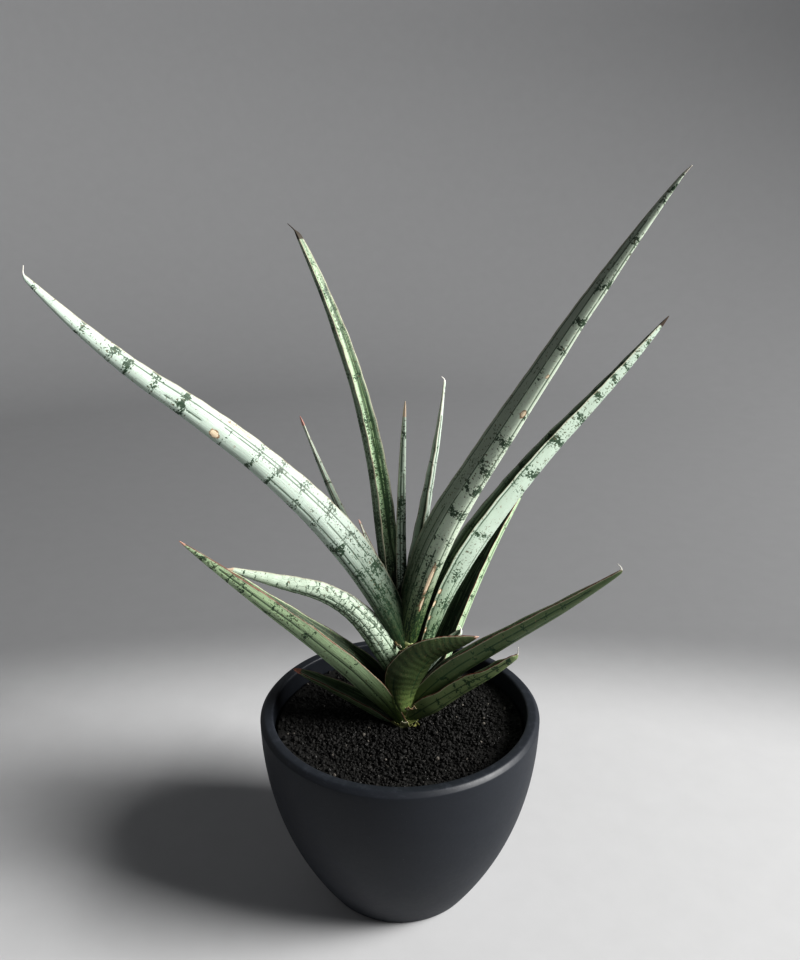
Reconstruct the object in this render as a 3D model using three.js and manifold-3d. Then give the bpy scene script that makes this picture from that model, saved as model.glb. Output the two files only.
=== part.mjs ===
// A potted snake plant: sixteen thick channelled leaves on a short stem, in dark soil, in a
// rounded matte pot. Millimetres, +Z up. The origin is the middle of the pot's flat foot, and the
// leaves fan out along X, to the left (-X) and to the right (+X).
import * as THREE from "three";
import { mergeVertices } from "three/addons/utils/BufferGeometryUtils.js";
import Module from "manifold-3d";

const wasm = await Module();
wasm.setup();

// Driving dimensions.
const POT = {
  height: 95,
  rimRadius: 65,
  footRadius: 36,
  belly: 2.2, // how late the side turns in towards the foot
  wall: 6,
  floor: 7,
  footRound: 0.9,
  rimChamfer: 1.8,
  rimRound: 0.5,
};
const SOIL = {
  level: 87, // height of the surface at the stem
  fall: 1.6, // how much lower it lies at the wall
  grain: 0.55, // half the height of the crumbs
  edge: 2, // how far below the surface its side ends
  wallGap: 0.6,
  holeDepth: 16,
};
const STEM = {
  x: 3,
  y: 1,
  soilRadius: 6,
  crownRadius: 4.5,
  crownHeight: 46, // above the soil
  tipRadius: 2.7,
  node: 0.5, // how far each leaf scar stands out
  scarSpacing: 7,
  scarPlace: 0.7, // share of the spacing at which the scar stands out most
};
const CLEARANCE = 0.3; // left between pieces that touch
const FACETS = {
  pot: 48, potRings: 9, stem: 20,
  soilRings: 12, soilSectors: 60, soilSideRings: 6,
  leafRings: 13, awlRings: 3, leafOuter: 6, leafInner: 4,
};
const CURVE_SUBSTEPS = 6; // short straight steps between two sections of a leaf
const LOOKS = {
  pot: { color: 0x2b2e33, roughness: 0.7 },
  soil: { color: 0x141312, roughness: 0.95 },
  stem: { color: 0xc9cfa8, roughness: 0.6 },
  leaf: { color: 0xb9c8bd, roughness: 0.45 },
  shadedLeaf: { color: 0x7f9a7c, roughness: 0.45 },
};

// The leaves, from the middle of the rosette outwards. Each starts `out` from the stem's axis, in
// its heading's direction or on `side`, at `up` above the soil. `heading` turns from its first to
// its second angle between root and tip (0 is +X, 90 is +Y), and `leans` are the angles from
// upright at the root, at one third, at two thirds and at the tip. `width` is across the margins
// and `depth` from margins to keel, both at the thickest place, `swell` of the way up, and `root`
// is the share of each that it starts with. `channel` is the trough's share of the depth, `taper`
// how soon the leaf thins towards its tip, `roll` its twist at root and tip, and the last `awl`
// millimetres, dry and hard, lean `curl` degrees more than the leaf does. A leaf that `clasps`
// wraps the front of the stem. All angles are in degrees.
const COMMON = {
  channel: 0.5, swell: 0.2, taper: 0.6, root: [0.85, 0.55], roll: [0, 0], awl: 3, curl: 0,
};
const LEAVES = [
  {
    name: "leaf_centre_spear", heading: [110, 60], up: 44, out: 4, length: 108,
    leans: [6, 6, 6, 4], width: 5, depth: 4.5, channel: 0.2, taper: 0.5, roll: [110, 110], awl: 5,
  },
  {
    name: "leaf_slim_back_right", heading: [47, 47], up: 44, out: 2, length: 121,
    leans: [6, 12, 14, 6], width: 11.5, depth: 5, taper: 0.7, root: [0.65, 0.55],
    roll: [15, 45], awl: 4, curl: -60,
  },
  {
    name: "leaf_tall_back", heading: [145, 145], up: 36, out: 4, length: 200,
    leans: [10, 7, 21.5, 33], width: 11, depth: 7.5, channel: 0.6, taper: 0.5, awl: 8, curl: 25,
  },
  {
    name: "leaf_short_back_left", heading: [130, 130], up: 42, out: 0, length: 60,
    leans: [34, 36, 36, 34], width: 6, depth: 5, channel: 0.3, taper: 0.7,
  },
  {
    name: "leaf_slim_back_left", heading: [150, 150], up: 40, out: 0, length: 115,
    leans: [33, 31, 27, 24], width: 7, depth: 5, channel: 0.2, taper: 0.7, roll: [-12, -12],
    awl: 4,
  },
  {
    name: "leaf_long_right", heading: [345, 345], up: 42, out: 1, length: 235,
    leans: [8, 29, 29.5, 33.5], width: 14, depth: 13.5, channel: 0.4, swell: 0.22, taper: 0.7,
    roll: [60, 65], awl: 6, curl: 8,
  },
  {
    name: "leaf_long_left", heading: [186, 184], up: 42, out: 3, length: 229,
    leans: [19, 41.5, 53, 39], width: 14, depth: 13, swell: 0.25, root: [0.85, 0.65],
    roll: [-50, -60], awl: 6, curl: -50,
  },
  {
    name: "leaf_upper_right", heading: [18, 18], up: 36, out: 8, length: 189.5,
    leans: [14, 38, 47, 42], width: 14, depth: 11, channel: 0.65, swell: 0.3, roll: [12, 22],
    awl: 4,
  },
  {
    name: "leaf_back_right", heading: [45, 45], up: 6, out: 6, length: 118,
    leans: [44, 35, 42, 50], width: 15, depth: 9, channel: 0.65, roll: [0, 25],
  },
  {
    name: "leaf_small_back_right", heading: [20, 20], up: 20, out: 2, length: 37,
    leans: [46, 50, 52, 46], width: 9, depth: 5, taper: 0.5, awl: 5, curl: -80,
  },
  {
    name: "leaf_arching_left", heading: [190, 190], up: 21, out: 3, length: 107,
    leans: [20, 35.5, 72, 67], width: 14, depth: 9.5, channel: 0.4, taper: 0.62, root: [0.85, 0.85],
    roll: [-35, -60], awl: 6,
  },
  {
    name: "leaf_short_front", heading: [346, 346], side: 270, up: 11.5, out: 6, length: 57,
    leans: [-6, 23, 65, 63], width: 23, depth: 10, channel: 0.5, swell: 0.34, taper: 0.8,
    root: [0.5, 0.5], roll: [25, 60], clasps: true,
  },
  {
    name: "leaf_lower_right", heading: [350, 350], up: 6, out: 2, length: 125,
    leans: [32, 53, 54, 49], width: 13, depth: 10, taper: 0.6, roll: [12, 20], awl: 5,
    curl: -95,
  },
  {
    name: "leaf_lower_left", heading: [197, 197], up: 4, out: 4, length: 137.5,
    leans: [31, 45, 46, 45], width: 16, depth: 13, taper: 0.7, roll: [16, -18], awl: 4,
  },
  {
    name: "leaf_low_right", heading: [342, 345], up: 3, out: 4, length: 66,
    leans: [46, 50, 54, 44], width: 14, depth: 9, roll: [15, 20], awl: 6, curl: -45,
  },
  {
    name: "leaf_low_left", heading: [174, 174], up: 0, out: 7, length: 52,
    leans: [58, 63, 64, 66], width: 12, depth: 6, taper: 0.5,
  },
];
const AWL_RADIUS = 0.55;
const CURL_WITHIN = 0.66; // share of the awl over which it curls
const LIP = 0.8; // the trough starts at this share of the half width
const TROUGH_EDGE = 0.9; // and would reach the margins' height at this one
const TROUGH_ROUND = 1.6;
const SHADED = new Set(["leaf_short_front", "leaf_lower_right", "leaf_low_right", "leaf_low_left"]);

const radians = THREE.MathUtils.degToRad;
const lerp = THREE.MathUtils.lerp;

// A closed geometry from vertices and triangles, its faces turned outwards.
function closedGeometry(vertices, triangles) {
  let volume = 0;
  for (const [a, b, c] of triangles)
    volume += vertices[a].dot(new THREE.Vector3().crossVectors(vertices[b], vertices[c]));
  const faces = volume < 0 ? triangles.map(([a, b, c]) => [a, c, b]) : triangles;
  const geometry = new THREE.BufferGeometry().setFromPoints(vertices);
  geometry.setIndex(faces.flat());
  return geometry;
}

// Rows of points joined into a skin, with a fan closing each end. Every row is a closed loop.
function loftedGeometry(rows) {
  const count = rows[0].length;
  const vertices = rows.flat();
  const triangles = [];
  for (let row = 0; row + 1 < rows.length; row++)
    for (let i = 0; i < count; i++) {
      const next = (i + 1) % count;
      const low = row * count;
      const high = low + count;
      triangles.push([low + i, low + next, high + next]);
      triangles.push([low + i, high + next, high + i]);
    }
  const ends = [rows[0], rows[rows.length - 1]];
  ends.forEach((row, end) => {
    const middle = row.reduce((sum, p) => sum.add(p), new THREE.Vector3()).divideScalar(count);
    vertices.push(middle);
    const first = end * (rows.length - 1) * count;
    for (let i = 0; i < count; i++) {
      const next = (i + 1) % count;
      const [a, b] = end ? [first + i, first + next] : [first + next, first + i];
      triangles.push([a, b, vertices.length - 1]);
    }
  });
  return closedGeometry(vertices, triangles);
}

function lathe(profile, segments) {
  const points = profile.map(([r, z]) => new THREE.Vector2(r, z));
  return new THREE.LatheGeometry(points, segments).rotateX(Math.PI / 2);
}

function solidFrom(geometry) {
  const bare = geometry.clone();
  bare.deleteAttribute("normal");
  bare.deleteAttribute("uv");
  const merged = mergeVertices(bare, 1e-4);
  return new wasm.Manifold(
    new wasm.Mesh({
      numProp: 3,
      vertProperties: new Float32Array(merged.attributes.position.array),
      triVerts: new Uint32Array(merged.index.array),
    }),
  );
}

function geometryFrom(solid) {
  const mesh = solid.getMesh();
  const geometry = new THREE.BufferGeometry();
  geometry.setAttribute("position", new THREE.BufferAttribute(mesh.vertProperties, 3));
  geometry.setIndex(new THREE.BufferAttribute(mesh.triVerts, 1));
  return geometry;
}

function largestBody(solid) {
  return solid.decompose().reduce((a, b) => (a.volume() > b.volume() ? a : b));
}

function sideRadius(z) {
  const turn = 1 - z / POT.height;
  return POT.rimRadius - (POT.rimRadius - POT.footRadius) * turn ** POT.belly;
}

function innerRadius(z) {
  return sideRadius(z) - POT.wall;
}

function potGeometry() {
  const { height, footRadius, footRound, floor, rimChamfer, rimRound, rimRadius, wall } = POT;
  const steps = FACETS.potRings;
  const profile = [
    [0, 0],
    [footRadius - footRound, 0],
    [sideRadius(footRound), footRound],
  ];
  const shoulder = height - rimChamfer - rimRound;
  for (let i = 1; i <= steps; i++) {
    const z = lerp(footRound, shoulder, i / steps);
    profile.push([sideRadius(z), z]);
  }
  profile.push([rimRadius - rimChamfer, height - rimRound / 2]);
  profile.push([rimRadius - rimChamfer - rimRound, height]);
  profile.push([rimRadius - wall + rimRound, height]);
  profile.push([innerRadius(height - rimRound), height - rimRound]);
  for (let i = 1; i <= steps; i++) {
    const z = lerp(height - rimRound, floor, i / steps);
    profile.push([innerRadius(z), z]);
  }
  profile.push([0, floor]);
  return lathe(profile, FACETS.pot);
}

// Height of the soil's surface: a low mound, roughened by crumbs that differ from point to point.
function soilHeight(x, y) {
  const away = Math.hypot(x, y) / innerRadius(SOIL.level);
  const scatter = Math.sin(x * 12.99 + y * 78.23) * 4375.85;
  const crumb = 2 * (scatter - Math.floor(scatter)) - 1;
  return SOIL.level - SOIL.fall * away ** 2 + SOIL.grain * crumb;
}

function soilGeometry() {
  const { soilRings, soilSectors, soilSideRings } = FACETS;
  const ring = (radius, height) =>
    Array.from({ length: soilSectors }, (_, i) => {
      const turn = (2 * Math.PI * i) / soilSectors;
      const x = radius * Math.cos(turn);
      const y = radius * Math.sin(turn);
      return new THREE.Vector3(x, y, height ?? soilHeight(x, y));
    });
  const bottom = POT.floor + CLEARANCE;
  const sideTop = SOIL.level - SOIL.fall - SOIL.edge;
  const rows = [];
  for (let i = 0; i < soilSideRings; i++) {
    const z = lerp(bottom, sideTop, i / (soilSideRings - 1));
    rows.push(ring(innerRadius(z) - SOIL.wallGap, z));
  }
  const edge = innerRadius(sideTop) - SOIL.wallGap;
  for (let i = 0; i < soilRings; i++) rows.push(ring(edge * (1 - i / soilRings)));
  return loftedGeometry(rows);
}

// The short stem, ringed by the scars of its leaves, grown by `margin` all round.
function stemGeometry(margin) {
  const { soilRadius, crownRadius, crownHeight, tipRadius, node, scarSpacing, scarPlace } = STEM;
  const bottom = SOIL.level - SOIL.holeDepth + CLEARANCE - margin;
  const profile = [
    [0, bottom],
    [soilRadius - 1 + margin, bottom],
  ];
  for (let h = 0; h + scarSpacing < crownHeight; h += scarSpacing) {
    const radius = lerp(soilRadius, crownRadius, h / crownHeight) + margin;
    profile.push([radius - node, SOIL.level + h]);
    profile.push([radius, SOIL.level + h + scarSpacing * scarPlace]);
  }
  profile.push([tipRadius + margin, SOIL.level + crownHeight - 1 + margin]);
  profile.push([0, SOIL.level + crownHeight + margin]);
  return lathe(profile, FACETS.stem).translate(STEM.x, STEM.y, 0);
}

function betweenLeans(leans, s) {
  const stretches = leans.length - 1;
  const step = Math.min(Math.floor(s * stretches), stretches - 1);
  return lerp(leans[step], leans[step + 1], s * stretches - step);
}

// The leaf's thickness along its length, as shares of its thickest.
function fullness(leaf, s, root) {
  if (s < leaf.swell) return lerp(root, 1, Math.sin((Math.PI / 2) * (s / leaf.swell)));
  return ((1 - s) / (1 - leaf.swell)) ** leaf.taper;
}

// One closed cross-section in the leaf's own plane: across (x) and from keel to channel (z).
function leafSection(leaf, s, margin) {
  const half = Math.max((leaf.width / 2) * fullness(leaf, s, leaf.root[0]), AWL_RADIUS);
  const depth = Math.max(leaf.depth * fullness(leaf, s, leaf.root[1]), 2 * AWL_RADIUS);
  const trough = leaf.channel * depth * (1 - s ** 3);
  const points = [];
  for (let i = 0; i <= FACETS.leafOuter; i++) {
    const turn = Math.PI * (i / FACETS.leafOuter - 0.5);
    const x = (half + margin) * Math.sin(turn);
    const z = depth / 2 - depth * Math.cos(turn);
    points.push([x, z + margin * (1 - 2 * Math.cos(turn))]);
  }
  for (let i = 0; i <= FACETS.leafInner; i++) {
    const across = LIP * (1 - (2 * i) / FACETS.leafInner);
    const drop = trough * (1 - Math.abs(across / TROUGH_EDGE) ** TROUGH_ROUND);
    points.push([across * (half + margin), depth / 2 - drop + margin]);
  }
  return points;
}

// The leaf's sections set along its curve, grown by `margin` all round.
function leafGeometry(options, margin) {
  const leaf = { ...COMMON, ...options };
  const { leafRings, awlRings } = FACETS;
  const blade = leaf.length - leaf.awl;
  const stations = [];
  for (let i = 0; i <= leafRings; i++) stations.push((i / leafRings) * blade);
  for (let i = 1; i <= awlRings; i++) stations.push(blade + (leaf.awl * i) / awlRings);

  const start = radians(leaf.side ?? leaf.heading[0]);
  const point = new THREE.Vector3(
    STEM.x + leaf.out * Math.cos(start),
    STEM.y + leaf.out * Math.sin(start),
    SOIL.level + leaf.up,
  );
  const rows = [];
  stations.forEach((distance, index) => {
    const from = index ? stations[index - 1] : 0;
    for (let k = 0; k < CURVE_SUBSTEPS; k++) {
      const at = lerp(from, distance, (k + 0.5) / CURVE_SUBSTEPS);
      const { along } = leafFrame(leaf, at);
      point.addScaledVector(along, (distance - from) / CURVE_SUBSTEPS);
    }
    const { across, upper } = leafFrame(leaf, distance);
    const section = leafSection(leaf, distance / leaf.length, margin);
    rows.push(
      section.map(([x, z]) => point.clone().addScaledVector(across, x).addScaledVector(upper, z)),
    );
  });
  return loftedGeometry(rows);
}

// Directions at a distance along the leaf: along it, across it, and out of its channel.
function leafFrame(leaf, distance) {
  const s = distance / leaf.length;
  const intoAwl = Math.max(0, distance - (leaf.length - leaf.awl)) / leaf.awl;
  const curled = leaf.curl * Math.min(1, intoAwl / CURL_WITHIN);
  const lean = radians(betweenLeans(leaf.leans, s) + curled);
  const heading = radians(lerp(leaf.heading[0], leaf.heading[1], s));
  const roll = radians(lerp(leaf.roll[0], leaf.roll[1], s));
  const outwards = new THREE.Vector3(Math.cos(heading), Math.sin(heading), 0);
  const along = outwards.clone().multiplyScalar(Math.sin(lean)).setZ(Math.cos(lean));
  const flat = new THREE.Vector3(Math.sin(heading), -Math.cos(heading), 0);
  const face = outwards.clone().multiplyScalar(-Math.cos(lean)).setZ(Math.sin(lean));
  const across = flat.clone().applyAxisAngle(along, -roll);
  const upper = face.clone().applyAxisAngle(along, -roll);
  return { along, across, upper };
}

function mesh(name, geometry, look) {
  const material = new THREE.MeshStandardMaterial({ ...look, metalness: 0 });
  const made = new THREE.Mesh(geometry, material);
  made.name = name;
  return made;
}

function buildPlant() {
  const plant = new THREE.Group();
  plant.add(mesh("pot", potGeometry(), LOOKS.pot));

  const stemSpace = solidFrom(stemGeometry(CLEARANCE));
  const soil = solidFrom(soilGeometry()).subtract(stemSpace);
  plant.add(mesh("soil", geometryFrom(soil), LOOKS.soil));

  // Each leaf makes room for the stem and for the leaves inside it. The one that clasps the stem
  // keeps its whole base, and the stem is hollowed behind it.
  let stem = solidFrom(stemGeometry(0));
  const taken = [solidFrom(soilGeometry().translate(0, 0, CLEARANCE))];
  for (const leaf of LEAVES) {
    let solid = solidFrom(leafGeometry(leaf, 0));
    const space = solidFrom(leafGeometry(leaf, CLEARANCE));
    for (const other of taken) solid = solid.subtract(other);
    if (leaf.clasps) stem = stem.subtract(space);
    else solid = solid.subtract(stemSpace);
    const look = SHADED.has(leaf.name) ? LOOKS.shadedLeaf : LOOKS.leaf;
    plant.add(mesh(leaf.name, geometryFrom(largestBody(solid)), look));
    taken.push(space);
  }
  plant.add(mesh("stem", geometryFrom(largestBody(stem)), LOOKS.stem));
  return plant;
}

export default buildPlant();
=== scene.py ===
"""Potted snake plant: channelled, banded leaves on a short stem, in gritty soil in a matte pot.

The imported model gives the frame. Every piece below stands for one of its solids, or adds what is
too fine for them. Leaf sizes are in millimetres and degrees, and all meshes are in metres.
"""
import math
from contextlib import contextmanager

import bpy
import numpy as np
from bpy.props import FloatProperty, FloatVectorProperty, IntProperty, PointerProperty
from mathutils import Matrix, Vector


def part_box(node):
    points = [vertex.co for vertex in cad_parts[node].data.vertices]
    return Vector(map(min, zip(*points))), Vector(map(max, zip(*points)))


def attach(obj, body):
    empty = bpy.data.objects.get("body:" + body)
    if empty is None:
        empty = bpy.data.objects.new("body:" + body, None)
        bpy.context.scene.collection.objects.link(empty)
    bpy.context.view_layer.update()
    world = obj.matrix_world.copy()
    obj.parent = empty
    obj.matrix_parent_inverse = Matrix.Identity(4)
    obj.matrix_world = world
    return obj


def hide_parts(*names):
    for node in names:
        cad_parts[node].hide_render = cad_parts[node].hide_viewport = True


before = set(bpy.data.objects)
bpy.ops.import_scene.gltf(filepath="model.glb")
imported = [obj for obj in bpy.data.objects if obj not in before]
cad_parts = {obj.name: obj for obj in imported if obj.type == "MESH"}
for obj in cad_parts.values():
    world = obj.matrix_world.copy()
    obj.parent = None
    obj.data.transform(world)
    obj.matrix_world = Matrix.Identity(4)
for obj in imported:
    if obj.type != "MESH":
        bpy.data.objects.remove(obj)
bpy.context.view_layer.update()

bl_info = {
    "name": "Potted snake plant",
    "version": (1, 0, 0),
    "blender": (4, 5, 0),
    "location": "3D View > Sidebar > Plant",
    "description": "Builds a potted snake plant piece by piece",
    "category": "Add Mesh",
}

MM = 0.001
POT_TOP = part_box("pot")[1][2]
STEM_BOTTOM, STEM_TOP = (corner[2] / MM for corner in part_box("stem"))

# Millimetres that the solids were drawn with too.
STEM_X, STEM_Y = 3.0, 1.0
SOIL_LEVEL = 87.0
SOIL_FALL = 1.6
AWL_RADIUS = 0.55

# Shares and powers of the solids' curves: the pot's side, how much of an awl curls, the channel.
POT_BELLY = 2.2
CURL_WITHIN = 0.66
LIP = 0.8
TROUGH_EDGE = 0.9
TROUGH_ROUND = 1.6

# Columns of vertices round a leaf: its outer side from margin to margin, then its channel.
OUTER = 39
INNER = 25
COLUMNS = OUTER + INNER

# Rings of vertices along a leaf, as (below this length, so many). Some of them are in the awl, and
# some in the foot, which runs on below the root into the stem.
RINGS = ((80, 90), (150, 140), (math.inf, 220))
AWL_RINGS = 14
FOOT_RINGS = 6
FOOT = 7.0

# Fine relief of a leaf's skin, in millimetres.
RIPPLE = 0.16
GROOVE = 0.2
RAISED_MARGIN = 0.2
RIB = 0.1

# A distance from the next dark line at which the line no longer shows, in millimetres.
NO_GROOVE = 9.0


def srgb(red, green, blue):
    """A colour read from a screen, 0 to 255, as the linear one that Blender works in."""
    shares = (np.array([red, green, blue]) / 255.0).clip(0, 1)
    linear = np.where(shares <= 0.04045, shares / 12.92, ((shares + 0.055) / 1.055) ** 2.4)
    return tuple(float(c) for c in linear)


def leaf(name, heading, up, out, length, leans, width, depth, **more):
    """One leaf's shape and look, with what most leaves share filled in.

    The root is up above the soil and out from the stem's middle, towards side or else the heading.
    heading, leans and roll are angles on the way from root to tip, and the curl adds to the lean
    in the awl. The channel is a share of the depth. bands are (where along it, half width, how
    dark), lines (angle round it, first and last share of the length) and scars (where, angle, half
    lengths along and across). mottled is (how far up, how dense), and wave the (height, length) of
    the margins' waves. Past plain_from, an angle, the outer side is darkened with painted
    shade and has few bands, and past far_from, a share of the half width, the channel
    has painted shade in its far_hollow colour. A thread is a tip that dries to a thin hair.
    """
    shape = {
        "name": name, "heading": heading, "up": up, "out": out, "length": length,
        "leans": leans, "width": width, "depth": depth, "channel": 0.5, "swell": 0.2,
        "taper": 0.6, "root": (0.85, 0.55), "roll": (0, 0), "awl": 3, "curl": 0, "side": None,
        "bands": (), "scars": (), "ribs": 0.0, "speckle": 0.3, "mottled": (35, 0.5),
        "lines": ((62, 0, 0.85), (-62, 0, 0.85), (30, 0, 0.7), (-30, 0, 0.7)), "spacing": 9.0,
        "net": 0.0, "wave": (0.12, 13.0), "stripes": 0.5,
        "skin": (208, 222, 210), "base": (140, 162, 132), "hollow": (74, 96, 68),
        "edge": 0.25, "dry": (196, 174, 146), "dry_length": 3.0, "thread": False,
        "lip": 1.3, "far_hollow": None, "far_from": 0.3, "plain_from": 999.0,
    }
    shape.update(more)
    return shape


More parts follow.
